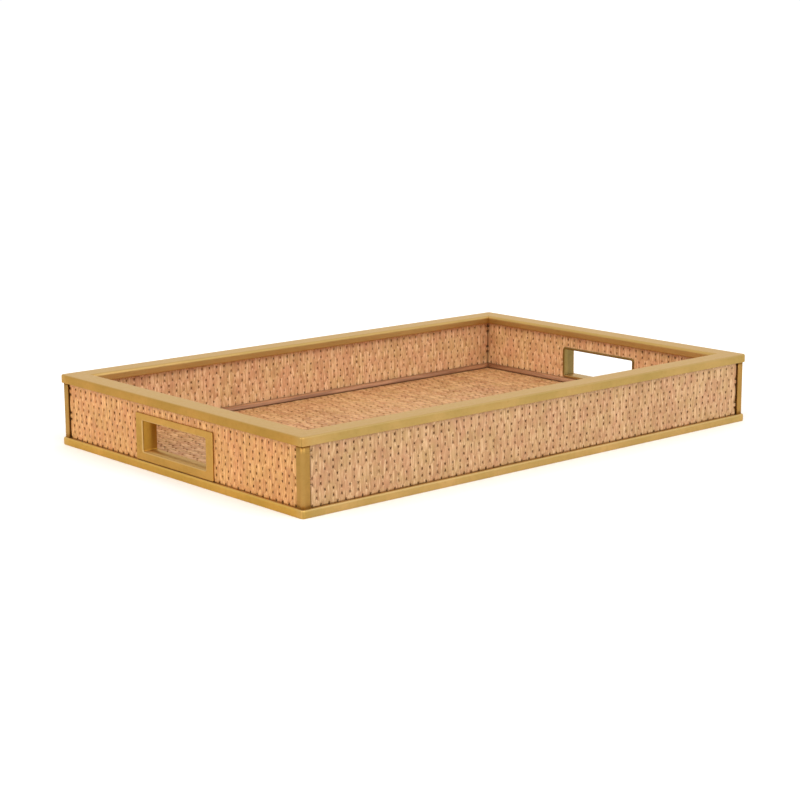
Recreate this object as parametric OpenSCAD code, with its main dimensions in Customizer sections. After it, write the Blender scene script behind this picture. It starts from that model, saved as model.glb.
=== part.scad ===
// Rectangular serving tray. Wooden walls and a plywood base are faced with
// woven cane, capped and edged in brass, with a brass-lined hand hole in each
// short wall. The origin is the middle of the underside, +X runs along the
// tray and +Z is up. Front is -Y, back is +Y, left is -X and right is +X.

/* [Tray] */
// Overall length, outside the brass rim
tray_l = 508; // [400:1:620]
// Overall width, outside the brass rim
tray_w = 334; // [280:1:440]
// Overall height
tray_h = 61.5; // [58:0.5:90]

/* [Walls] */
// Thickness of the wooden wall boards
wall_t = 8; // [6:0.5:10]
// Thickness of the woven cane panels
cane_t = 2; // [1.5:0.1:2.5]
// Width and height of the quarter-round bead where the floor meets the walls
bead = 4.4; // [3:0.1:4.4]

/* [Brass] */
// Thickness of the folded brass sheet
brass_t = 1; // [0.6:0.1:1.2]
// Width of the flat cap on top of the walls
rim_w = 20; // [19.2:0.1:24]
// Height of the cap
rim_h = 7.4; // [5:0.1:10]
// How far the cap and the base channel stand out past the cane
rim_proud = 2.6; // [2:0.1:3]
// Radius of the cap's long edges
rim_edge_r = 1.2; // [0.5:0.1:2]
// Radius of the cap's outer corners, seen from above
corner_r = 1.6; // [0.5:0.1:3]
// Height of the channel around the base
channel_h = 6.8; // [5.5:0.1:7]
// How far the channel's lower flange reaches under the base
channel_reach = 12; // [8:0.5:20]
// Length of each leg of the corner posts
post_leg = 7.6; // [6:0.1:12]
// How far the posts and bezels sit in from the edge of the cap
post_inset = 1.2; // [0.8:0.1:1.6]

/* [Hand holes] */
// Length of the clear opening
hole_l = 88; // [70:1:110]
// Height of the clear opening
hole_h = 25.6; // [20:0.1:25.6]
// Height of the opening's lower edge above the table
hole_z = 14.6; // [14.6:0.1:16]
// Width of the upright bars of the outer bezel
bezel_side = 9.4; // [5:0.1:14]
// Width of the top bar of the outer bezel
bezel_top = 6; // [4:0.1:7]
// Width of the lip that shows inside the tray
lip_w = 2.2; // [1.5:0.1:2.2]
// Thickness of that lip
lip_t = 0.8; // [0.5:0.1:1.2]

/* [Fixings] */
// Diameter of the steel brads
brad_d = 1.6; // [1.2:0.1:2]
// Length of the brads that join the wall boards at the corners
corner_brad_l = 25; // [20:1:30]
// Length of the brads that hold the base board to the walls
base_brad_l = 18; // [15:1:25]

/* [Hidden] */
BRASS = "#C2A04E";
CANE = "#D2A077";
CANE_BEAD = "#B98258";
BOARD = "#B58D62";
PLYWOOD = "#C9A87C";
FELT = "#3B332C";
STEEL = "#A9ABAD";

// Distances in from the outer edge of the cap, one after the other
board_in = rim_proud + cane_t;      // outer face of the wall boards
inner_cane_in = board_in + wall_t;  // inner face of the wall boards
well_in = inner_cane_in + cane_t;   // inner face of the inner cane
board_mid_in = board_in + wall_t / 2;

// Heights above the table. The base board fills the channel around its edge.
base_t = channel_h - 2 * brass_t;
base_top = brass_t + base_t;
floor_z = base_top + cane_t;
rim_z = tray_h - rim_h;
wall_top = rim_z + brass_t;

// Clearances that show as dark lines between pieces
panel_gap = 0.8;
bezel_gap = 0.3;
seam_gap = 0.4;

hole_top = hole_z + hole_h;
post_end_in = post_inset + post_leg;
corner_brad_heights = [base_top + 12, wall_top - 12];

// Places of the base brads along each wall, clear of the hand holes
brad_end_space = 20;
brad_hole_space = 25;
long_brad_step = (tray_l / 2 - inner_cane_in - brad_end_space) / 2;
short_brad_places = [
    hole_l / 2 + brad_hole_space,
    tray_w / 2 - inner_cane_in - brad_end_space
];

// ---- Placing things on a side ---------------------------------------------
// Each side has its own local frame: x runs along the wall from its middle,
// y is the distance in from the tray's outer edge, and z is up.

module on_front() {
    translate([0, -tray_w / 2, 0]) children();
}

module on_back() {
    rotate(180) on_front() children();
}

module on_left() {
    rotate(-90) translate([0, -tray_l / 2, 0]) children();
}

module on_right() {
    rotate(90) translate([0, -tray_l / 2, 0]) children();
}

// ---- Shared shapes --------------------------------------------------------

// Straight bar along a wall, from inset y0 to y1 and from height z0 to z1
module bar(length, y0, y1, z0, z1) {
    translate([-length / 2, y0, z0]) cube([length, y1 - y0, z1 - z0]);
}

// Rectangle with true round corners, its lower left corner at the origin
module rounded_rect(w, h, r) {
    translate([r, 0]) square([w - 2 * r, h]);
    translate([0, r]) square([w, h - 2 * r]);
    for (x = [r, w - r], y = [r, h - r]) {
        translate([x, y]) circle(r = r, $fn = 32);
    }
}

// Sweeps a section (inset across, height up) along a wall and cuts both ends
// at 45 degrees between the insets y0 and y1
module mitred(length, y0, y1) {
    intersection() {
        rotate([90, 0, 90]) linear_extrude(length, center = true) children();
        linear_extrude(tray_h) polygon([
            [-length / 2 + y0, y0],
            [length / 2 - y0, y0],
            [length / 2 - y1, y1],
            [-length / 2 + y1, y1]
        ]);
    }
}

// Outline of the whole tray seen from above, with its rounded corners
module tray_outline() {
    translate([-tray_l / 2, -tray_w / 2]) rounded_rect(tray_l, tray_w, corner_r);
}

module within_outline() {
    intersection() {
        children();
        linear_extrude(tray_h) tray_outline();
    }
}

// Block that fills the hand hole, grown all round by the given margin
module hole_block(margin, y0, y1) {
    bar(hole_l + 2 * margin, y0, y1, hole_z - margin, hole_top + margin);
}

// ---- Base -----------------------------------------------------------------

module base_board() {
    color(PLYWOOD) difference() {
        translate([0, 0, brass_t + base_t / 2])
            cube([tray_l - 2 * brass_t, tray_w - 2 * brass_t, base_t], center = true);
        base_brad_set();
    }
}

module underside_felt() {
    color(FELT) translate([0, 0, brass_t / 2])
        cube([tray_l - 2 * channel_reach, tray_w - 2 * channel_reach, brass_t], center = true);
}

module floor_cane() {
    color(CANE) translate([0, 0, base_top + cane_t / 2])
        cube([tray_l - 2 * well_in, tray_w - 2 * well_in, cane_t], center = true);
}

// ---- Wall boards ----------------------------------------------------------
// The long boards run through and the short ones fit between them.

module long_board() {
    bar(tray_l - 2 * board_in, board_in, inner_cane_in, base_top, wall_top);
}

module short_board() {
    difference() {
        bar(tray_w - 2 * inner_cane_in, board_in, inner_cane_in, base_top, wall_top);
        hole_block(brass_t, 0, rim_w);
    }
}

module less_brads() {
    difference() {
        children();
        corner_brad_set();
        base_brad_set();
    }
}

module front_wall_board() {
    color(BOARD) less_brads() on_front() long_board();
}

module back_wall_board() {
    color(BOARD) less_brads() on_back() long_board();
}

module left_wall_board() {
    color(BOARD) less_brads() on_left() short_board();
}

module right_wall_board() {
    color(BOARD) less_brads() on_right() short_board();
}

// ---- Cane panels ----------------------------------------------------------

module outer_cane(wall_length) {
    bar(wall_length - 2 * (post_end_in + panel_gap), rim_proud, board_in, channel_h, wall_top);
}

module pierced_outer_cane(wall_length) {
    difference() {
        outer_cane(wall_length);
        hole_block(brass_t, 0, rim_w);
    }
}

module front_outer_cane() {
    color(CANE) on_front() outer_cane(tray_l);
}

module back_outer_cane() {
    color(CANE) on_back() outer_cane(tray_l);
}

module left_outer_cane() {
    color(CANE) on_left() pierced_outer_cane(tray_w);
}

module right_outer_cane() {
    color(CANE) on_right() pierced_outer_cane(tray_w);
}

module long_inner_cane() {
    bar(tray_l - 2 * (well_in + seam_gap), inner_cane_in, well_in, base_top, wall_top);
}

module short_inner_cane() {
    difference() {
        bar(tray_w - 2 * inner_cane_in, inner_cane_in, well_in, base_top, wall_top);
        hole_block(brass_t, 0, rim_w);
    }
}

module front_inner_cane() {
    color(CANE) on_front() long_inner_cane();
}

module back_inner_cane() {
    color(CANE) on_back() long_inner_cane();
}

module left_inner_cane() {
    color(CANE) on_left() short_inner_cane();
}

module right_inner_cane() {
    color(CANE) on_right() short_inner_cane();
}

// ---- Quarter-round beads --------------------------------------------------

module bead_section() {
    translate([well_in, floor_z]) intersection() {
        square(bead);
        circle(r = bead, $fn = 48);
    }
}

module wall_bead(wall_length) {
    mitred(wall_length, well_in, well_in + bead) bead_section();
}

module front_bead() {
    color(CANE_BEAD) on_front() wall_bead(tray_l);
}

module back_bead() {
    color(CANE_BEAD) on_back() wall_bead(tray_l);
}

module left_bead() {
    color(CANE_BEAD) on_left() wall_bead(tray_w);
}

module right_bead() {
    color(CANE_BEAD) on_right() wall_bead(tray_w);
}

// ---- Brass cap along the top of the walls ---------------------------------
// A folded channel with its lips turned in against the cane, and a wooden
// strip inside it that lies on top of the wall.

module rim_section() {
    difference() {
        translate([0, rim_z]) rounded_rect(rim_w, rim_h, rim_edge_r);
        translate([brass_t, wall_top])
            square([rim_w - 2 * brass_t, rim_h - 2 * brass_t]);
        translate([rim_proud, rim_z - brass_t])
            square([well_in - rim_proud, 2 * brass_t]);
    }
}

module rim_core_section() {
    translate([brass_t, wall_top]) square([rim_w - 2 * brass_t, rim_h - 2 * brass_t]);
}

module rim(wall_length) {
    mitred(wall_length, 0, rim_w) rim_section();
}

module rim_core(wall_length) {
    mitred(wall_length, 0, rim_w) rim_core_section();
}

module front_rim() {
    color(BRASS) within_outline() on_front() rim(tray_l);
}

module back_rim() {
    color(BRASS) within_outline() on_back() rim(tray_l);
}

module left_rim() {
    color(BRASS) within_outline() on_left() rim(tray_w);
}

module right_rim() {
    color(BRASS) within_outline() on_right() rim(tray_w);
}

module front_rim_core() {
    color(BOARD) on_front() rim_core(tray_l);
}

module back_rim_core() {
    color(BOARD) on_back() rim_core(tray_l);
}

module left_rim_core() {
    color(BOARD) on_left() rim_core(tray_w);
}

module right_rim_core() {
    color(BOARD) on_right() rim_core(tray_w);
}

// ---- Brass channel around the edge of the base ----------------------------

module channel_section() {
    difference() {
        square([channel_reach, channel_h]);
        translate([brass_t, brass_t]) square([channel_reach, base_t]);
        translate([board_in, base_top]) square([channel_reach, channel_h]);
    }
}

module base_channel(wall_length) {
    mitred(wall_length, 0, channel_reach) channel_section();
}

module front_base_channel() {
    color(BRASS) within_outline() on_front() base_channel(tray_l);
}

module back_base_channel() {
    color(BRASS) within_outline() on_back() base_channel(tray_l);
}

module left_base_channel() {
    color(BRASS) within_outline() on_left() base_channel(tray_w);
}

module right_base_channel() {
    color(BRASS) within_outline() on_right() base_channel(tray_w);
}

// ---- Brass corner posts ---------------------------------------------------

// Angle section with its rounded outside corner towards -X, -Y
module post_section() {
    difference() {
        rounded_rect(post_leg, post_leg, corner_r);
        translate([board_in - post_inset, board_in - post_inset]) square(post_leg);
    }
}

module corner_post() {
    translate([-tray_l / 2 + post_inset, -tray_w / 2 + post_inset, channel_h])
        linear_extrude(rim_z - channel_h) post_section();
}

module front_left_post() {
    color(BRASS) corner_post();
}

module front_right_post() {
    color(BRASS) mirror([1, 0, 0]) corner_post();
}

module back_left_post() {
    color(BRASS) mirror([0, 1, 0]) corner_post();
}

module back_right_post() {
    color(BRASS) rotate(180) corner_post();
}

// ---- Hand holes -----------------------------------------------------------

// Flat frame on the outside of the cane
module bezel() {
    difference() {
        bar(hole_l + 2 * bezel_side, post_inset, rim_proud,
            channel_h + bezel_gap, hole_top + bezel_top);
        hole_block(0, 0, rim_w);
    }
}

// Tube through the wall, flanged against the inner cane
module hole_liner() {
    difference() {
        union() {
            hole_block(brass_t, rim_proud, well_in);
            hole_block(lip_w, well_in, well_in + lip_t);
        }
        hole_block(0, 0, rim_w);
    }
}

module left_bezel() {
    color(BRASS) on_left() bezel();
}

module right_bezel() {
    color(BRASS) on_right() bezel();
}

module left_hole_liner() {
    color(BRASS) on_left() hole_liner();
}

module right_hole_liner() {
    color(BRASS) on_right() hole_liner();
}

// ---- Brads ----------------------------------------------------------------

// Brads driven through the long boards into the ends of the short ones
module corner_brad_set() {
    for (side_x = [-1, 1], side_y = [-1, 1], z = corner_brad_heights) {
        translate([
            side_x * (tray_l / 2 - board_mid_in),
            side_y * (tray_w / 2 - board_in - corner_brad_l / 2),
            z
        ])
            rotate([90, 0, 0]) cylinder(h = corner_brad_l, d = brad_d, center = true, $fn = 24);
    }
}

module base_brad(x, y) {
    translate([x, y, brass_t]) cylinder(h = base_brad_l, d = brad_d, $fn = 24);
}

// Brads driven up through the base board into the walls
module base_brad_set() {
    for (side = [-1, 1]) {
        for (i = [-2:2]) {
            base_brad(i * long_brad_step, side * (tray_w / 2 - board_mid_in));
        }
        for (end = [-1, 1], y = short_brad_places) {
            base_brad(side * (tray_l / 2 - board_mid_in), end * y);
        }
    }
}

module corner_brads() {
    color(STEEL) corner_brad_set();
}

module base_brads() {
    color(STEEL) base_brad_set();
}

// ---- Nodes ----------------------------------------------------------------

base_board();
underside_felt();
floor_cane();
front_wall_board();
back_wall_board();
left_wall_board();
right_wall_board();
front_outer_cane();
back_outer_cane();
left_outer_cane();
right_outer_cane();
front_inner_cane();
back_inner_cane();
left_inner_cane();
right_inner_cane();
front_bead();
back_bead();
left_bead();
right_bead();
front_rim();
back_rim();
left_rim();
right_rim();
front_rim_core();
back_rim_core();
left_rim_core();
right_rim_core();
front_base_channel();
back_base_channel();
left_base_channel();
right_base_channel();
front_left_post();
front_right_post();
back_left_post();
back_right_post();
left_bezel();
right_bezel();
left_hole_liner();
right_hole_liner();
corner_brads();
base_brads();
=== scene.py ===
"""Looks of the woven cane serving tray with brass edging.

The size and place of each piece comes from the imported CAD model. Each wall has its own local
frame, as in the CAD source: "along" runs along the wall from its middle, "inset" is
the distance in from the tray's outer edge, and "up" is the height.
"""
import math

import bpy
import numpy as np
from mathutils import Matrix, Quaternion, Vector


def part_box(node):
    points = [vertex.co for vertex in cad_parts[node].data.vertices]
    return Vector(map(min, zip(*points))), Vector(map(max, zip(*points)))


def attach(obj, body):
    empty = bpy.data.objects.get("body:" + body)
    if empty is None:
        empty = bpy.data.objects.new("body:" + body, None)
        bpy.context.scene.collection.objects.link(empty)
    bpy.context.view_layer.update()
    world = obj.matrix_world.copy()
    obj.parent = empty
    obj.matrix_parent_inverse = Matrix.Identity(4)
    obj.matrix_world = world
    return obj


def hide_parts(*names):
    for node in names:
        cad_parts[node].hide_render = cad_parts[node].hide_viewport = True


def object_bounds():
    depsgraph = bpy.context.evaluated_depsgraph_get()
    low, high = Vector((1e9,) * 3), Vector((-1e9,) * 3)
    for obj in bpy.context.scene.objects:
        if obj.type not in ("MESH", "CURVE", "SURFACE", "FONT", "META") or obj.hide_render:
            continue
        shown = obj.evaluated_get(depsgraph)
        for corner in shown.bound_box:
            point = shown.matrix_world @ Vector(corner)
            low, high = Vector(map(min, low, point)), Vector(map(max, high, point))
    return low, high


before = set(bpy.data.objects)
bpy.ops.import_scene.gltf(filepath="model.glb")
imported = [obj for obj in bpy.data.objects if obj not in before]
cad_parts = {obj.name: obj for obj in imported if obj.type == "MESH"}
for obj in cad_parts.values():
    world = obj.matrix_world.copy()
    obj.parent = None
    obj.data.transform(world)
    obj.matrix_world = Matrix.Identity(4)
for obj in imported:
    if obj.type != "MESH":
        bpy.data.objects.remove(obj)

CAD_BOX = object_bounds()
MM = 0.001
HIGH = CAD_BOX[1]
# For each wall, its quarter turns from the front, and how far its outer edge is from the middle
SIDES = {
    "front": (0, HIGH.y),
    "right": (1, HIGH.x),
    "back": (2, HIGH.y),
    "left": (3, HIGH.x),
}


# ---- Places ------------------------------------------------------------------

def on_side(side, along, inset, up):
    """Points of a wall's local frame as an array of points in the tray's frame."""
    turns, reach = SIDES[side]
    along, inset, up = np.broadcast_arrays(*(np.asarray(v, float) for v in (along, inset, up)))
    c, s = ((1, 0), (0, 1), (-1, 0), (0, -1))[turns]
    y = inset - reach
    return np.stack([c * along - s * y, s * along + c * y, up], -1)


def half_length(side):
    return HIGH.x if side in ("front", "back") else HIGH.y


def local_box(side, node):
    """((along0, along1), (inset0, inset1), (up0, up1)) of a CAD node."""
    turns, reach = SIDES[side]
    c, s = ((1, 0), (0, 1), (-1, 0), (0, -1))[turns]
    low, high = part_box(node)
    along = sorted(c * p.x + s * p.y for p in (low, high))
    inset = sorted(c * p.y - s * p.x + reach for p in (low, high))
    return along, inset, (low.z, high.z)


# ---- Meshes ------------------------------------------------------------------

class Sheaf:
    """Gathers swept tubes into one mesh, with named values at each point."""

    def __init__(self):
        self.points, self.faces, self.values, self.count = [], [], {}, 0

    def tube(self, rings, loop=False, **values):
        """rings is (stations, points around, 3): closed around, and capped at its ends unless loop."""
        stations, around = rings.shape[:2]
        index = self.count + np.arange(stations * around).reshape(stations, around)
        nxt = np.roll(index, -1, axis=1)
        if loop:
            a, b, c, d = index, nxt, np.roll(nxt, -1, axis=0), np.roll(index, -1, axis=0)
        else:
            a, b, c, d = index[:-1], nxt[:-1], nxt[1:], index[1:]
            self.faces += [index[0][::-1].tolist(), index[-1].tolist()]
        self.faces += np.stack([a, b, c, d], -1).reshape(-1, 4).tolist()
        self.points.append(rings.reshape(-1, 3))
        for name, value in values.items():
            value = np.asarray(value, float)
            if value.ndim < 3:
                value = np.broadcast_to(value, (stations, around))
                self.values.setdefault(name, []).append(value.reshape(-1))
            else:
                self.values.setdefault(name, []).append(value.reshape(-1, 3))
        self.count += stations * around

    def piece(self, name, material, slot, node, tone=(1, 1, 1)):
        """Makes the object, which rides on the tray and stands for the CAD node.

        A colour tone, which is partly painted light, shifts the colour of the whole piece, unless the
        tubes brought their own.
        """
        mesh = bpy.data.meshes.new(name)
        mesh.from_pydata(np.concatenate(self.points).tolist(), [], self.faces)
        for key, parts in self.values.items():
            data = np.concatenate(parts).astype(np.float32)
            kind = "FLOAT" if data.ndim == 1 else "FLOAT_VECTOR"
            attribute = mesh.attributes.new(key, kind, "POINT")
            attribute.data.foreach_set("value" if data.ndim == 1 else "vector", data.ravel())
        if "tone" not in self.values:
            shift = mesh.attributes.new("tone", "FLOAT_VECTOR", "POINT")
            shift.data.foreach_set("vector", np.tile(np.float32(tone), self.count))
        mesh.materials.append(material)
        mesh.shade_smooth()
        mesh.update()
        made = bpy.data.objects.new(name, mesh)
        bpy.context.scene.collection.objects.link(made)
        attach(made, "root")
        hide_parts(node)


def rounded_section(corners, hold=0.35 * MM, steps=4):
    """Closed section from (across, up, radius) corners, all right angles.

    Returns the points and a value that is 1 on the rounded edges and 0 on the flats, which the brass
    shows as wear and a painted highlight.
    """
    points, worn = [], []
    total = len(corners)
    for k, (x, y, radius) in enumerate(corners):
        here = np.array([x, y])
        before = np.array(corners[k - 1][:2]) - here
        after = np.array(corners[(k + 1) % total][:2]) - here
        before, after = before / np.hypot(*before), after / np.hypot(*after)
        if not radius:
            points.append(here)
            worn.append(0.2)
            continue
        centre = here + radius * (before + after)
        points.append(here + (radius + hold) * before)
        worn.append(0.0)
        for t in np.linspace(0, math.pi / 2, steps + 1):
            points.append(centre - radius * (after * math.cos(t) + before * math.sin(t)))
            worn.append(math.sin(2 * t))
        points.append(here + (radius + hold) * after)
        worn.append(0.0)
    return np.array(points), np.array(worn)


# ---- Materials ---------------------------------------------------------------

class Nodes:
    """Short ways to add and join shader nodes."""

    def __init__(self, name):
        self.material = bpy.data.materials.new(name)
        self.material.use_nodes = True
        self.tree = self.material.node_tree
        self.tree.nodes.clear()
        self.shader = self.add("ShaderNodeBsdfPrincipled")
        output = self.add("ShaderNodeOutputMaterial")
        self.join(self.shader.outputs[0], output.inputs["Surface"])

    def add(self, kind, **settings):
        made = self.tree.nodes.new(kind)
        for key, value in settings.items():
            setattr(made, key, value)
        return made

    def join(self, a, b):
        self.tree.links.new(a, b)

    def feed(self, socket, value):
        if isinstance(value, bpy.types.NodeSocket):
            self.join(value, socket)
        else:
            socket.default_value = value

    def value(self, name):
        return self.add("ShaderNodeAttribute", attribute_name=name).outputs["Fac"]

    def place(self, name=None, scale=(1, 1, 1)):
        if name:
            source = self.add("ShaderNodeAttribute", attribute_name=name).outputs["Vector"]
        else:
            source = self.add("ShaderNodeTexCoord").outputs["Object"]
        mapping = self.add("ShaderNodeMapping")
        self.join(source, mapping.inputs["Vector"])
        mapping.inputs["Scale"].default_value = scale
        return mapping.outputs["Vector"]

    def noise(self, vector, scale, detail=3.0, roughness=0.55):
        made = self.add("ShaderNodeTexNoise")
        self.join(vector, made.inputs["Vector"])
        made.inputs["Scale"].default_value = scale
        made.inputs["Detail"].default_value = detail
        made.inputs["Roughness"].default_value = roughness
        return made.outputs["Fac"]

    def span(self, value, low, high, to_low=0.0, to_high=1.0):
        made = self.add("ShaderNodeMapRange")
        self.join(value, made.inputs["Value"])
        limits = {"From Min": low, "From Max": high, "To Min": to_low, "To Max": to_high}
        for key, number in limits.items():
            made.inputs[key].default_value = number
        return made.outputs["Result"]

    def math(self, operation, a, b):
        made = self.add("ShaderNodeMath", operation=operation)
        self.feed(made.inputs[0], a)
        self.feed(made.inputs[1], b)
        return made.outputs[0]

    def mix(self, factor, a, b, blend="MIX"):
        made = self.add("ShaderNodeMix", data_type="RGBA", blend_type=blend)
        self.feed(made.inputs["Factor"], factor)
        for socket, value in ((made.inputs[6], a), (made.inputs[7], b)):
            self.feed(socket, value if isinstance(value, bpy.types.NodeSocket) else (*value, 1))
        return made.outputs[2]

    def bump(self, height, distance, strength=1.0, normal=None):
        made = self.add("ShaderNodeBump")
        self.join(height, made.inputs["Height"])
        made.inputs["Distance"].default_value = distance
        made.inputs["Strength"].default_value = strength
        if normal:
            self.join(normal, made.inputs["Normal"])
        return made.outputs["Normal"]

    def toned(self, colour):
        """The colour, shifted by the piece's tone, which is partly painted light."""
        tone = self.add("ShaderNodeAttribute", attribute_name="tone").outputs["Color"]
        return self.mix(1.0, colour, tone, "MULTIPLY")

    def finish(self, colour, roughness, normal=None, **constants):
        self.feed(self.shader.inputs["Base Color"], colour)
        self.feed(self.shader.inputs["Roughness"], roughness)
        if normal:
            self.join(normal, self.shader.inputs["Normal"])
        for key, number in constants.items():
            self.shader.inputs[key.replace("_", " ")].default_value = number
        return self.material


def cane_material():
    n = Nodes("cane")
    tint, depth = n.value("tint"), n.value("depth")
    fibres = n.noise(n.place("cane", (1, 0.05, 1)), 2600, 3.0)
    ridges = n.noise(n.place("cane", (1, 0.10, 1)), 900, 1.5)
    patches = n.noise(n.place(), 55, 2.0)
    colour = n.mix(n.span(patches, 0.36, 0.64), (0.535, 0.320, 0.138), (0.56, 0.278, 0.142))
    colour = n.mix(n.span(tint, 0.5, 0.0, 0, 0.7), colour, (0.42, 0.200, 0.092))
    colour = n.mix(n.span(tint, 0.5, 1.0, 0, 0.7), colour, (0.73, 0.450, 0.245))
    colour = n.mix(n.span(ridges, 0.53, 0.70, 0, 0.75), colour, (0.38, 0.185, 0.085))
    colour = n.mix(n.span(ridges, 0.46, 0.32, 0, 0.95), colour, (0.78, 0.495, 0.280))
    colour = n.mix(n.span(fibres, 0.5, 0.78, 0, 0.3), colour, (0.40, 0.19, 0.085))
    # Painted shade darkens the pits, the strands' edges and the cross strands
    colour = n.toned(n.mix(depth, colour, (0.165, 0.070, 0.023)))
    rough = n.span(fibres, 0.3, 0.8, 0.42, 0.62)
    height = n.math("ADD", fibres, n.math("MULTIPLY", ridges, 1.4))
    return n.finish(colour, rough, n.bump(height, 0.00012, 0.8), Specular_IOR_Level=0.35)


def bead_material():
    n = Nodes("cane_bead")
    fibres = n.noise(n.place("cane", (0.03, 1, 1)), 2200, 4.0)
    streaks = n.noise(n.place("cane", (0.06, 1, 1)), 300, 3.0)
    colour = n.mix(n.span(streaks, 0.35, 0.65), (0.22, 0.088, 0.036), (0.44, 0.205, 0.098))
    colour = n.mix(n.span(fibres, 0.45, 0.8, 0, 0.5), colour, (0.18, 0.072, 0.03))
    seat = n.math("MULTIPLY", n.value("seat"), n.span(streaks, 0.3, 0.5, 0.6, 1.0))
    # Painted shade in the creases where the bead meets the floor and the wall
    colour = n.mix(seat, colour, (0.05, 0.018, 0.007))
    rough = n.span(fibres, 0.3, 0.8, 0.36, 0.55)
    return n.finish(colour, rough, n.bump(fibres, 0.0001, 0.7), Specular_IOR_Level=0.4)


def brass_material():
    n = Nodes("brass")
    worn = n.value("worn")
    where = n.place("brushed")
    clouds = n.noise(where, 22, 3.0)
    mottle = n.noise(where, 260, 4.0, 0.65)
    brushing = n.noise(n.place("brushed", (0.02, 1, 1)), 3800, 2.0)
    colour = n.mix(n.span(clouds, 0.3, 0.7), (0.43, 0.285, 0.078), (0.57, 0.355, 0.120))
    colour = n.mix(n.span(mottle, 0.52, 0.8, 0, 0.4), colour, (0.38, 0.23, 0.065))
    # Rounded edges are lighter: partly wear, partly a painted highlight
    colour = n.mix(n.span(worn, 0.0, 1.0, 0, 0.4), colour, (0.68, 0.48, 0.20))
    # Tops, inner faces, the hole's edge and the sill are lightened by a painted reflection of the
    # bright room
    colour = n.mix(n.value("rubbed"), n.toned(colour), (0.56, 0.365, 0.142))
    rough = n.span(mottle, 0.3, 0.75, 0.36, 0.50)
    rough = n.math("ADD", rough, n.span(brushing, 0.3, 0.7, -0.04, 0.04))
    normal = n.bump(brushing, 0.00003, 0.5)
    normal = n.bump(clouds, 0.0012, 0.5, normal)
    n.shader.inputs["Specular Tint"].default_value = (1.0, 0.90, 0.74, 1)
    return n.finish(colour, rough, normal, Metallic=1.0)


def wood_material(name, dark, light, scale):
    n = Nodes(name)
    rings = n.noise(n.place(None, (0.08, 1, 1)), scale, 3.0)
    pores = n.noise(n.place(None, (0.05, 1, 1)), scale * 12, 3.0)
    colour = n.mix(rings, dark, light)
    colour = n.mix(n.span(pores, 0.5, 0.75, 0, 0.4), colour, dark)
    rough = n.span(pores, 0.3, 0.8, 0.5, 0.75)
    return n.finish(colour, rough, n.bump(pores, 0.0002, 0.7), Specular_IOR_Level=0.3)


def felt_material():
    n = Nodes("felt")
    hairs = n.noise(n.place(), 2400, 5.0, 0.7)
    clouds = n.noise(n.place(), 60, 3.0)
    colour = n.mix(n.span(hairs, 0.35, 0.65), (0.024, 0.019, 0.016), (0.105, 0.082, 0.066))
    colour = n.mix(n.span(clouds, 0.4, 0.65, 0, 0.6), colour, (0.035, 0.027, 0.022))
    return n.finish(colour, 0.95, n.bump(hairs, 0.0004, 1.0), Specular_IOR_Level=0.1, Sheen_Weight=0.15)


def steel_material():
    n = Nodes("steel")
    marks = n.noise(n.place(), 3000, 3.0)
    colour = n.mix(marks, (0.42, 0.42, 0.43), (0.62, 0.62, 0.62))
    rough = n.span(marks, 0.3, 0.7, 0.25, 0.45)
    return n.finish(colour, rough, n.bump(marks, 0.00005, 0.5), Metallic=1.0)


CANE = cane_material()
BEAD = bead_material()
BRASS = brass_material()
FELT = felt_material()

KEPT = {
    "wall_board": wood_material("wall_wood", (0.20, 0.10, 0.045), (0.33, 0.185, 0.09), 60),
    "rim_core": wood_material("core_wood", (0.22, 0.12, 0.055), (0.36, 0.21, 0.10), 60),
    "base_board": wood_material("plywood", (0.38, 0.24, 0.125), (0.55, 0.37, 0.205), 45),
    "brads": steel_material(),
}
for name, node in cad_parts.items():
    for ending, material in KEPT.items():
        if name.endswith(ending):
            node.data.materials.clear()
            node.data.materials.append(material)


# ---- Brass -------------------------------------------------------------------

SHEET = 1.0 * MM
CORNER_R = 2.6 * MM
POST_CORNER_R = 3.0 * MM
MITRE_SEAM = 0.04 * MM
MITRE_EASING = 1.2 * MM
TONE_BLEND = 8 * MM
QUARTER_TURN = np.radians((0, 30, 60, 90))

# Colour tones of each wall's cap and base channel, and of the other brass pieces. Those that differ
# from wall to wall are partly painted light
CAP_TONES = {
    "front": (0.88, 0.89, 0.93),
    "back": (0.94, 0.92, 0.90),
    "left": (0.83, 0.70, 0.48),
    "right": (0.94, 0.90, 0.80),
}
CHANNEL_TONES = {
    "front": (1.02, 1.04, 1.16),
    "back": (1.02, 1.04, 1.16),
    "left": (1.06, 0.96, 0.62),
    "right": (1.02, 0.98, 0.85),
}
LINER_TONES = {"left": (0.80, 0.61, 0.32), "right": (0.58, 0.62, 0.64)}
BEZEL_TONE = (0.97, 0.83, 0.63)
POST_TONE = (0.77, 0.67, 0.57)


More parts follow.
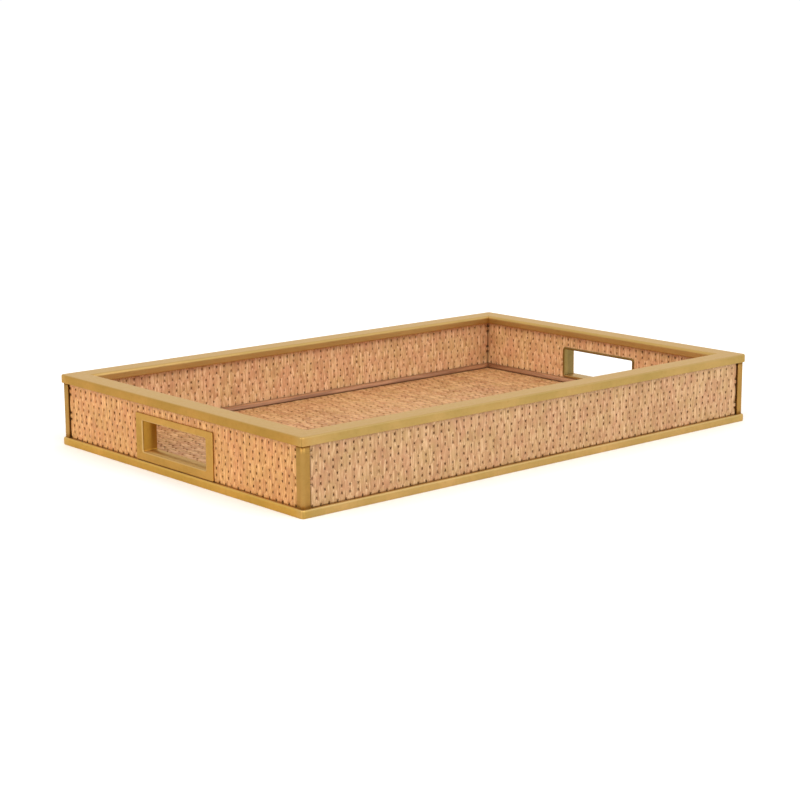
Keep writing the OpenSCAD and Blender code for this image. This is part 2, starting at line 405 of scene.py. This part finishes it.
def mitred_bar(side, section, worn, tones, rubbed):
    """Sweeps a section (inset, up) along a wall between its mitres, round the tray's corners.

    Each wall's colour tone, which is partly painted light, comes from the given tones, and neighbours
    meet at the tone between theirs.
    """
    half = half_length(side)
    inset, up = section[:, 0], section[:, 1]
    outer = inset < CORNER_R
    corner = []
    for turn in np.radians((45, 33, 21, 9, 0)):
        round_in = np.maximum(CORNER_R - inset, 0)
        easing = MITRE_EASING * (1 - turn / math.radians(45))
        along = np.where(outer, half - CORNER_R + round_in * math.sin(turn), half - inset - easing)
        across = np.where(outer, CORNER_R - round_in * math.cos(turn), inset)
        corner.append((along - MITRE_SEAM, across))

    blend = half - np.maximum(inset, CORNER_R) - TONE_BLEND
    straight = np.linspace(half - 30 * MM, 30 * MM - half, 24)
    middle = [(blend, inset)] + [(np.full_like(inset, a), inset) for a in straight] + [(-blend, inset)]
    stations = corner + middle + [(-a, i) for a, i in reversed(corner)]

    walls = list(SIDES)
    turns = walls.index(side)
    before, own, after = (np.array(tones[walls[k % 4]]) for k in (turns - 1, turns, turns + 1))
    tone = [(own + after) / 2] * len(corner) + [own] * len(middle) + [(own + before) / 2] * len(corner)

    along, across = (np.array([station[k] for station in stations]) for k in (0, 1))
    up = np.broadcast_to(up, along.shape)
    brushed = np.stack([along, across, up], -1)
    tone = np.broadcast_to(np.array(tone)[:, None], brushed.shape)
    sheaf = Sheaf()
    sheaf.tube(on_side(side, along, across, up), worn=worn, rubbed=rubbed, brushed=brushed, tone=tone)
    return sheaf


def framed(side, outlines, worn, rubbed=0.0, sill=0.0):
    """Closed frame round a hand hole, from (half length, low, high, corner radius, inset) outlines.

    The painted sheen, a painted reflection that lightens the brass, has a value for each outline, and
    sill is the least one along the bottom.
    """
    loops = []
    for half, low, high, radius, inset in outlines:
        path = []
        for k, (right, top) in enumerate(((1, 1), (-1, 1), (-1, -1), (1, -1))):
            centre_up = high - radius if top > 0 else low + radius
            for t in QUARTER_TURN if k % 2 == 0 else QUARTER_TURN[::-1]:
                along = right * (half - radius + radius * math.cos(t))
                path.append((along, inset, centre_up + top * radius * math.sin(t)))
        loops.append(path)
    rings = np.stack(loops, 1)
    bottom = rings[..., 2] < rings[..., 2].min(axis=0) + 0.01 * MM
    rubbed = np.maximum(np.broadcast_to(rubbed, bottom.shape), sill * bottom)
    placed = on_side(side, *rings.transpose(2, 0, 1))
    sheaf = Sheaf()
    sheaf.tube(placed, loop=True, worn=worn, rubbed=rubbed, brushed=rings)
    return sheaf


for side in SIDES:
    _, (_, rim_in), (rim_low, rim_high) = local_box(side, side + "_rim")
    _, (cane_out, cane_in), _ = local_box(side, side + "_outer_cane")
    well_in = local_box(side, side + "_inner_cane")[1][1]
    section, worn = rounded_section([
        (cane_out, rim_low, 0),
        (0, rim_low, 0.7 * MM),
        (0, rim_high, 1.5 * MM),
        (rim_in, rim_high, 2.4 * MM),
        (rim_in, rim_low, 0.7 * MM),
        (well_in, rim_low, 0),
        (well_in, rim_low + SHEET, 0),
        (rim_in - SHEET, rim_low + SHEET, 0),
        (rim_in - SHEET, rim_high - SHEET, 0),
        (SHEET, rim_high - SHEET, 0),
        (SHEET, rim_low + SHEET, 0),
        (cane_out, rim_low + SHEET, 0),
    ])
    top, inner_face = section[:, 1] > rim_high - 0.3 * MM, section[:, 0] > rim_in - 0.1 * MM
    # Painted reflection: the top is lighter, and the inner face a little less
    rubbed = np.where(top, 1.0, 0.7 * inner_face)
    mitred_bar(side, section, worn, CAP_TONES, rubbed).piece(
        side + "_rim_cap", BRASS, "brass", side + "_rim")

    _, (_, flange_in), (channel_low, channel_high) = local_box(side, side + "_base_channel")
    section, worn = rounded_section([
        (0, channel_low, 0.8 * MM),
        (0, channel_high, 1.7 * MM),
        (cane_in, channel_high, 0),
        (cane_in, channel_high - SHEET, 0),
        (SHEET, channel_high - SHEET, 0),
        (SHEET, channel_low + SHEET, 0),
        (flange_in, channel_low + SHEET, 0),
        (flange_in, channel_low, 0.3 * MM),
    ])
    # Painted reflection lightens the channel's top
    rubbed = 1.0 * (section[:, 1] > channel_high - 0.3 * MM)
    mitred_bar(side, section, worn, CHANNEL_TONES, rubbed).piece(
        side + "_base_edging", BRASS, "brass", side + "_base_channel")

for across in ("left", "right"):
    for deep in ("front", "back"):
        node = f"{deep}_{across}_post"
        low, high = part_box(node)
        sign_x = -1 if across == "left" else 1
        sign_y = -1 if deep == "front" else 1
        reach_x, reach_y = max(abs(low.x), abs(high.x)), max(abs(low.y), abs(high.y))
        leg = high.x - low.x
        thick = cane_in - (HIGH.x - reach_x)
        section, worn = rounded_section([
            (0, 0, POST_CORNER_R),
            (0, leg, 0.7 * MM),
            (thick, leg, 0),
            (thick, thick, 0),
            (leg, thick, 0),
            (leg, 0, 0.7 * MM),
        ])
        up = np.broadcast_to(np.linspace(low.z, high.z, 8)[:, None], (8, len(section)))
        x = np.broadcast_to(sign_x * (reach_x - section[:, 0]), up.shape)
        y = np.broadcast_to(sign_y * (reach_y - section[:, 1]), up.shape)
        sheaf = Sheaf()
        sheaf.tube(np.stack([x, y, up], -1), worn=0.3 * worn, brushed=np.stack([up, x, y], -1))
        sheaf.piece(node + "_angle", BRASS, "brass", node, POST_TONE)

for side in ("left", "right"):
    (_, bezel_half), (front_in, back_in), (bezel_low, bezel_high) = local_box(side, side + "_bezel")
    (_, lip_half), (tube_in, lip_in), (lip_low, lip_high) = local_box(side, side + "_hole_liner")
    cane_face = local_box(side, side + "_inner_cane")[1][1]
    lip = 2.2 * MM
    half, low, high = lip_half - lip, lip_low + lip, lip_high - lip
    inner_r, outer_r = 1.0 * MM, 1.2 * MM

    def inner(margin, inset):
        return half + margin, low - margin, high + margin, inner_r + margin, inset

    def outer(margin, inset):
        return bezel_half - margin, bezel_low + margin, bezel_high - margin, outer_r - margin, inset

    # Bezel: over its outer edge, across its face, and over the edge of the hole, which gets a painted
    # highlight
    edge, soft, flat = 0.9 * MM, 0.6 * MM, 0.4 * MM
    outlines, worn = [outer(0, back_in)], [0]
    for t in QUARTER_TURN:
        outlines.append(outer(soft * (1 - math.cos(t)), front_in + soft * (1 - math.sin(t))))
        worn.append(math.sin(2 * t) * 0.8)
    outlines += [outer(soft + flat, front_in), inner(edge + flat, front_in)]
    worn += [0, 0]
    for t in QUARTER_TURN[::-1]:
        outlines.append(inner(edge * (1 - math.cos(t)), front_in + edge * (1 - math.sin(t))))
        worn.append(0.4 + math.sin(2 * t) * 0.6)
    outlines.append(inner(0, back_in))
    worn.append(0)
    # Painted highlight along the edge of the hole
    rubbed = [0.0] * 7 + [0.3, 1.0, 1.0, 0.3, 0.0]
    framed(side, outlines, worn, rubbed).piece(
        side + "_hole_bezel", BRASS, "brass", side + "_bezel", BEZEL_TONE)

    # Liner: through the wall, and round both edges of the thin lip inside the tray
    round_r, flat = 0.4 * MM, 0.3 * MM
    outlines, worn = [inner(SHEET, cane_face), inner(SHEET, tube_in), inner(0, tube_in)], [0, 0, 0]
    outlines.append(inner(0, lip_in - round_r - flat))
    worn.append(0)
    for t in QUARTER_TURN:
        outlines.append(inner(round_r * (1 - math.cos(t)), lip_in - round_r * (1 - math.sin(t))))
        worn.append(math.sin(2 * t))
    for t in QUARTER_TURN[::-1]:
        outlines.append(inner(lip - round_r * (1 - math.cos(t)), lip_in - round_r * (1 - math.sin(t))))
        worn.append(math.sin(2 * t))
    outlines.append(inner(lip, cane_face))
    worn.append(0)
    # A painted reflection lightens the sill along the bottom
    framed(side, outlines, worn, sill=0.8).piece(
        side + "_hole_lining", BRASS, "brass", side + "_hole_liner", LINER_TONES[side])


# ---- Woven cane --------------------------------------------------------------
# Flat strands, each wider than their spacing, lie side by side and overlap. At each
# cross strand every second one passes over and the others dive under it. In the
# narrow gaps this leaves a pair of small pits, with the cross strand between them.

PITCH, CROSS = 4.0 * MM, 10.6 * MM
THICK = 2.0 * MM

# By distance from a cross strand: the height of a strand that passes over it and of one
# that dives under it, and the half width of both
FROM_CROSS = np.array((0, 2.2, 3.2, 4.2, 5.3)) * MM
OVER_HEIGHT = np.array((1.88, 1.87, 1.84, 1.78, 1.68)) * MM
UNDER_HEIGHT = np.array((1.05, 1.05, 1.12, 1.62, 1.68)) * MM
HALF_WIDTH = np.array((3.84, 3.62, 3.34, 3.60, 3.65)) * MM

# Points across a strand, and how far each is below the strand's middle
STRAND = np.array((-1.0, -0.80, -0.45, 0.0, 0.45, 0.80, 1.0))
STRAND_CROWN = np.array((-0.42, -0.11, -0.04, 0.0, -0.04, -0.11, -0.42)) * MM
CROSS_STRAND = np.array((1.0, 0.6, 0.0, -0.6, -1.0))
CROSS_CROWN = np.array((-0.45, -0.12, 0.0, -0.12, -0.45)) * MM
CROSS_HALF = 2.0 * MM

# Colour tone (partly painted light, as it differs by wall), contrast between strands, extra half
# width that narrows the pits, and the margin beside the posts and in the corners, with painted shade
CANE_LOOKS = {
    "outer": ((0.845, 0.845, 0.81), 0.9, 0.0, 0.3 * MM),
    "inner": ((1.165, 1.19, 1.21), 0.9, 0.12 * MM, 0.25 * MM),
    "left_outer": ((0.98, 0.83, 0.565), 0.8, -0.05 * MM, 0.1 * MM),
    "floor": ((0.90, 0.83, 0.705), 2.2, 0.0, 0.0),
}


def wander(rng, at, step, size):
    """Smooth random values along a line, from -size to size."""
    knots = np.arange(at.min() - step, at.max() + 2 * step, step)
    return np.interp(at, knots, rng.uniform(-size, size, len(knots)))


def ease(x):
    x = np.clip(x, 0, 1)
    return x * x * (3 - 2 * x)


def weave(name, place, u_range, v_range, first, node, seed, look, cut=None, whole=None, start=0):
    """Woven panel. place(u, v, h) puts points across, along and above the sheet in the tray's frame.

    first is where along v a cross strand lies, and cut is a hole (u half, v low, v high).
    A panel woven in lengths gets its whole u range, and the number of its first strand.
    """
    rng = np.random.default_rng(seed)
    tone, contrast, tight, margin = CANE_LOOKS[look]
    (u0, u1), (v0, v1) = u_range, v_range
    count = round((u1 - u0) / PITCH)
    pitch = (u1 - u0) / count
    edge0, edge1 = whole or u_range
    numbers = np.arange(math.floor((v0 - first) / CROSS) - 1, math.ceil((v1 - first) / CROSS) + 2)
    crossings = first + CROSS * numbers
    stations = (crossings[:, None] + np.concatenate([-FROM_CROSS[3:0:-1], FROM_CROSS])).ravel()
    stations = stations[(stations > v0 + 0.5 * MM) & (stations < v1 - 0.5 * MM)]
    stations = np.unique(np.concatenate([stations, [v0, v1], cut[1:] if cut else []]))
    nearest = np.abs(stations[:, None] - crossings).argmin(1)
    away = np.abs(stations - crossings[nearest])
    over_height = np.interp(away, FROM_CROSS, OVER_HEIGHT)
    under_height = np.interp(away, FROM_CROSS, UNDER_HEIGHT)
    width = np.interp(away, FROM_CROSS, HALF_WIDTH) + tight

    sheaf = Sheaf()
    over = (start + np.arange(count)[:, None] + numbers) % 2 == 0
    for k in range(count):
        middle = u0 + (k + 0.5) * pitch
        rises = over[k][nearest]
        top = np.where(rises, over_height, under_height) + rng.uniform(-0.04, 0.04) * MM
        top = np.clip(top + wander(rng, stations, 4 * MM, 0.05 * MM), 0.28 * MM, THICK - 0.02 * MM)
        half = width + rng.uniform(-0.14, 0.14) * MM + wander(rng, stations, 6 * MM, 0.22 * MM)
        centre = (middle + wander(rng, stations, 9 * MM, 0.12 * MM))[:, None]
        room = np.where(STRAND < 0, centre - edge0, edge1 - centre) - margin
        u = centre + np.minimum(half[:, None], room) * STRAND
        twist = contrast * wander(rng, stations, 8 * MM, 0.10 * MM)[:, None] * STRAND
        h = np.clip(top[:, None] + STRAND_CROWN + twist, 0.1 * MM, THICK - 0.01 * MM)
        v = np.broadcast_to(stations[:, None], u.shape).copy()
        ragged = rng.uniform(0, 0.3, 2) * MM
        v[0] += ragged[0]
        v[-1] -= ragged[1]
        tint = rng.uniform(-0.18, 0.18) + rng.uniform(-0.16, 0.16, len(crossings))[nearest]
        lean = rng.uniform(-0.35, 0.25, len(crossings))[nearest]
        tint = np.clip(0.5 + contrast * (tint[:, None] + lean[:, None] * STRAND), 0, 1)
        shade = rng.uniform(0.15, 1.05, len(crossings))[nearest]
        # Painted shade in the pits, where a strand dives under a cross strand
        pit = shade * ease((1.50 * MM - top) / (0.35 * MM))
        # A little painted shade along each strand's edges, between neighbours
        depth = pit[:, None] + 0.05 * (np.abs(STRAND) > 0.9)
        # Painted shade over the strands beside the posts and in the corners
        if margin:
            to_edge = np.minimum(u - edge0, edge1 - u)
            depth = np.maximum(depth, 0.9 * ease((3 * margin - to_edge) / (2 * margin)))
        depth = np.clip(depth, 0, 1)
        cane = np.stack([u, v, h + k * 0.01], -1)
        runs = [slice(0, len(stations))]
        if cut:
            low_end, high_start = np.searchsorted(stations, cut[1]), np.searchsorted(stations, cut[2])
            if abs(middle) < cut[0]:
                runs = [slice(0, low_end + 1), slice(high_start, len(stations))]
            else:
                inside = slice(low_end, high_start + 1)
                limit = math.copysign(cut[0], middle)
                keep_out = np.maximum if middle > 0 else np.minimum
                u[inside] = keep_out(u[inside], limit)
                cane[inside, :, 0] = u[inside]
        for run in runs:
            sheaf.tube(place(u[run], v[run], h[run]), tint=tint[run], depth=depth[run], cane=cane[run])

    # Cross strands, which rise a little in the gaps above the strands that dive
    steps = np.arange(2 * count + 1) / 2
    along = u0 + pitch * steps
    for j, middle in enumerate(crossings):
        if not v0 + CROSS_HALF < middle < v1 - CROSS_HALF:
            continue
        rise = np.interp(steps - 0.5, np.arange(count), 1.0 - over[:, j])
        h = (1.20 * MM + 0.60 * MM * rise)[:, None] + CROSS_CROWN
        v = np.broadcast_to(middle + CROSS_HALF * CROSS_STRAND, h.shape)
        u = np.broadcast_to(along[:, None], h.shape)
        cane = np.stack([v, u, h + j * 0.02], -1)
        runs = [slice(0, len(along))]
        if cut and cut[1] - CROSS_HALF < middle < cut[2] + CROSS_HALF:
            hole_start, hole_end = np.searchsorted(along, (-cut[0], cut[0]))
            runs = [slice(0, hole_start), slice(hole_end, len(along))]
        for run in runs:
            tint = rng.uniform(0.35, 0.7)
            # The cross strands get a faint painted shade all over
            sheaf.tube(place(u[run], v[run], h[run]), tint=tint, depth=0.05, cane=cane[run])
    sheaf.piece(name, CANE, "cane", node, tone)


WALL_CROSS = 15.6 * MM
CUT_TRIM = 1.2 * MM
seed = 20
for side in SIDES:
    for layer in ("outer", "inner"):
        node = f"{side}_{layer}_cane"
        u_range, (near, far), v_range = local_box(side, node)
        seed += 1

        def place(u, v, h):
            if layer == "outer":
                return on_side(side, u, far - h, v)
            return on_side(side, u, near + h, v)[:, ::-1]

        cut = None
        if side in ("left", "right"):
            (_, lip_half), _, (lip_low, lip_high) = local_box(side, side + "_hole_liner")
            cut = (lip_half - CUT_TRIM, lip_low + CUT_TRIM, lip_high - CUT_TRIM)
        if layer == "inner":
            v_range = (local_box(side, side + "_bead")[2][0], v_range[1])
        look = "left_outer" if side == "left" and layer == "outer" else layer
        weave(f"{side}_{layer}_weave", place, u_range, v_range, WALL_CROSS, node, seed, look, cut)

low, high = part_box("floor_cane")


def on_floor(u, v, h):
    return np.stack([u, v, low.z + h], -1)


# The floor is one weave, made in three lengths
strands = round((high.x - low.x) / PITCH)
shares = np.linspace(0, strands, 4).round().astype(int)
edges = low.x + (high.x - low.x) * shares / strands
for k, part in enumerate(("left", "middle", "right")):
    seed += 1
    weave("floor_weave_" + part, on_floor, edges[k:k + 2], (low.y, high.y), 0.0, "floor_cane", seed,
          "floor", whole=(low.x, high.x), start=shares[k])


# ---- Bead where the floor meets the walls ------------------------------------

BEAD_STATIONS = 64
# Painted shade at each point round the bead, from its seat on the floor up to the wall, darkest in the
# creases
BEAD_SEAT = np.array((0.95, 0.5, 0, 0, 0, 0, 0, 0.2, 0.6, 0))

for side, (turns, _) in SIDES.items():
    _, (bead_out, bead_in), (bead_low, bead_high) = local_box(side, side + "_bead")
    radius = bead_in - bead_out
    rng = np.random.default_rng(70 + turns)
    angles = np.radians(np.linspace(0, 90, 9))
    across = np.append(bead_out + radius * np.cos(angles), bead_out)
    up = np.append(bead_low + radius * np.sin(angles), bead_low)
    spots = np.linspace(-1, 1, BEAD_STATIONS)[:, None]
    swell = 1 - 0.05 * rng.uniform(0, 1, (BEAD_STATIONS, 1)) * (across > bead_out + 0.1 * MM)
    inset = bead_out + (across - bead_out) * swell
    along = spots * (half_length(side) - inset)
    up = bead_low + (up - bead_low) * (1 - 0.03 * rng.uniform(0, 1, (BEAD_STATIONS, 1)))
    rings = on_side(side, along, inset, up)[:, ::-1]
    sheaf = Sheaf()
    sheaf.tube(rings, seat=BEAD_SEAT[::-1], cane=np.stack([along, inset, up], -1)[:, ::-1])
    sheaf.piece(side + "_cane_bead", BEAD, "cane_bead", side + "_bead")


# ---- Felt on the underside ---------------------------------------------------

low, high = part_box("underside_felt")
xs, ys = np.linspace(low.x, high.x, 97), np.linspace(low.y, high.y, 65)
rng = np.random.default_rng(90)
gx, gy = np.meshgrid(xs, ys, indexing="ij")
lumps = rng.uniform(0, 0.12 * MM, gx.shape)
border = np.minimum.reduce([gx - low.x, high.x - gx, gy - low.y, high.y - gy])
bottom = low.z + lumps + 0.35 * MM * (border < 1 * MM)  # the very edge is pressed thin
under = np.stack([gx, gy, bottom], -1)
upper = np.stack([gx, gy, np.full_like(gx, high.z)], -1)
sheaf = Sheaf()
sheaf.tube(np.concatenate([under, upper[:, ::-1]], axis=1))
sheaf.piece("underside_felt_pad", FELT, "felt", "underside_felt")


# ---- Studio ------------------------------------------------------------------

def studio_world(strength):
    """Even white light from all round."""
    world = bpy.data.worlds.new("studio")
    world.use_nodes = True
    background = world.node_tree.nodes["Background"]
    background.inputs["Color"].default_value = (1, 1, 1, 1)
    background.inputs["Strength"].default_value = strength
    bpy.context.scene.world = world


def soft_sun(name, azimuth, elevation, strength, spread, colour):
    """Wide, soft light from azimuth (0 is the front, 90 the right) and elevation."""
    data = bpy.data.lights.new(name, "SUN")
    data.energy, data.angle, data.color = strength, math.radians(spread), colour
    light = bpy.data.objects.new(name, data)
    a, e = math.radians(azimuth), math.radians(elevation)
    source = Vector((math.sin(a) * math.cos(e), -math.cos(a) * math.cos(e), math.sin(e)))
    light.rotation_mode = "QUATERNION"
    light.rotation_quaternion = source.to_track_quat("Z", "Y")
    bpy.context.scene.collection.objects.link(light)


studio_world(1.03)
soft_sun("front", 5, 38, 0.9, 45, (0.96, 1.0, 0.98))
soft_sun("left", -80, 36, 1.0, 45, (1.0, 0.90, 0.70))

mesh = bpy.data.meshes.new("floor")
FLOOR_REACH = 12.0
corners = [(x * FLOOR_REACH, y * FLOOR_REACH, 0) for x, y in ((-1, -1), (1, -1), (1, 1), (-1, 1))]
mesh.from_pydata(corners, [], [(0, 1, 2, 3)])
floor = bpy.data.objects.new("floor", mesh)
bpy.context.scene.collection.objects.link(floor)
n = Nodes("floor_paper")
paper = n.mix(n.noise(n.place(), 900, 3.0), (0.95, 0.95, 0.95), (0.97, 0.97, 0.97))
mesh.materials.append(n.finish(paper, 0.9, Specular_IOR_Level=0.1))

azimuth, elevation, roll = math.radians(-41.07), math.radians(11.59), math.radians(-0.27)
back = Vector((
    math.sin(azimuth) * math.cos(elevation),
    -math.cos(azimuth) * math.cos(elevation),
    math.sin(elevation),
))
aim = Vector((85.1, 113.4, 0)) * MM
distance = 1.7843
data = bpy.data.cameras.new("camera")
data.sensor_width, data.lens = 36, 83.76
data.clip_start, data.clip_end = 0.01, 60
camera = bpy.data.objects.new("camera", data)
camera.location = aim + back * distance
camera.rotation_mode = "QUATERNION"
camera.rotation_quaternion = (-back).to_track_quat("-Z", "Y") @ Quaternion((0, 0, 1), roll)
bpy.context.scene.collection.objects.link(camera)
bpy.context.scene.camera = camera
bpy.context.scene.view_settings.view_transform = "Standard"
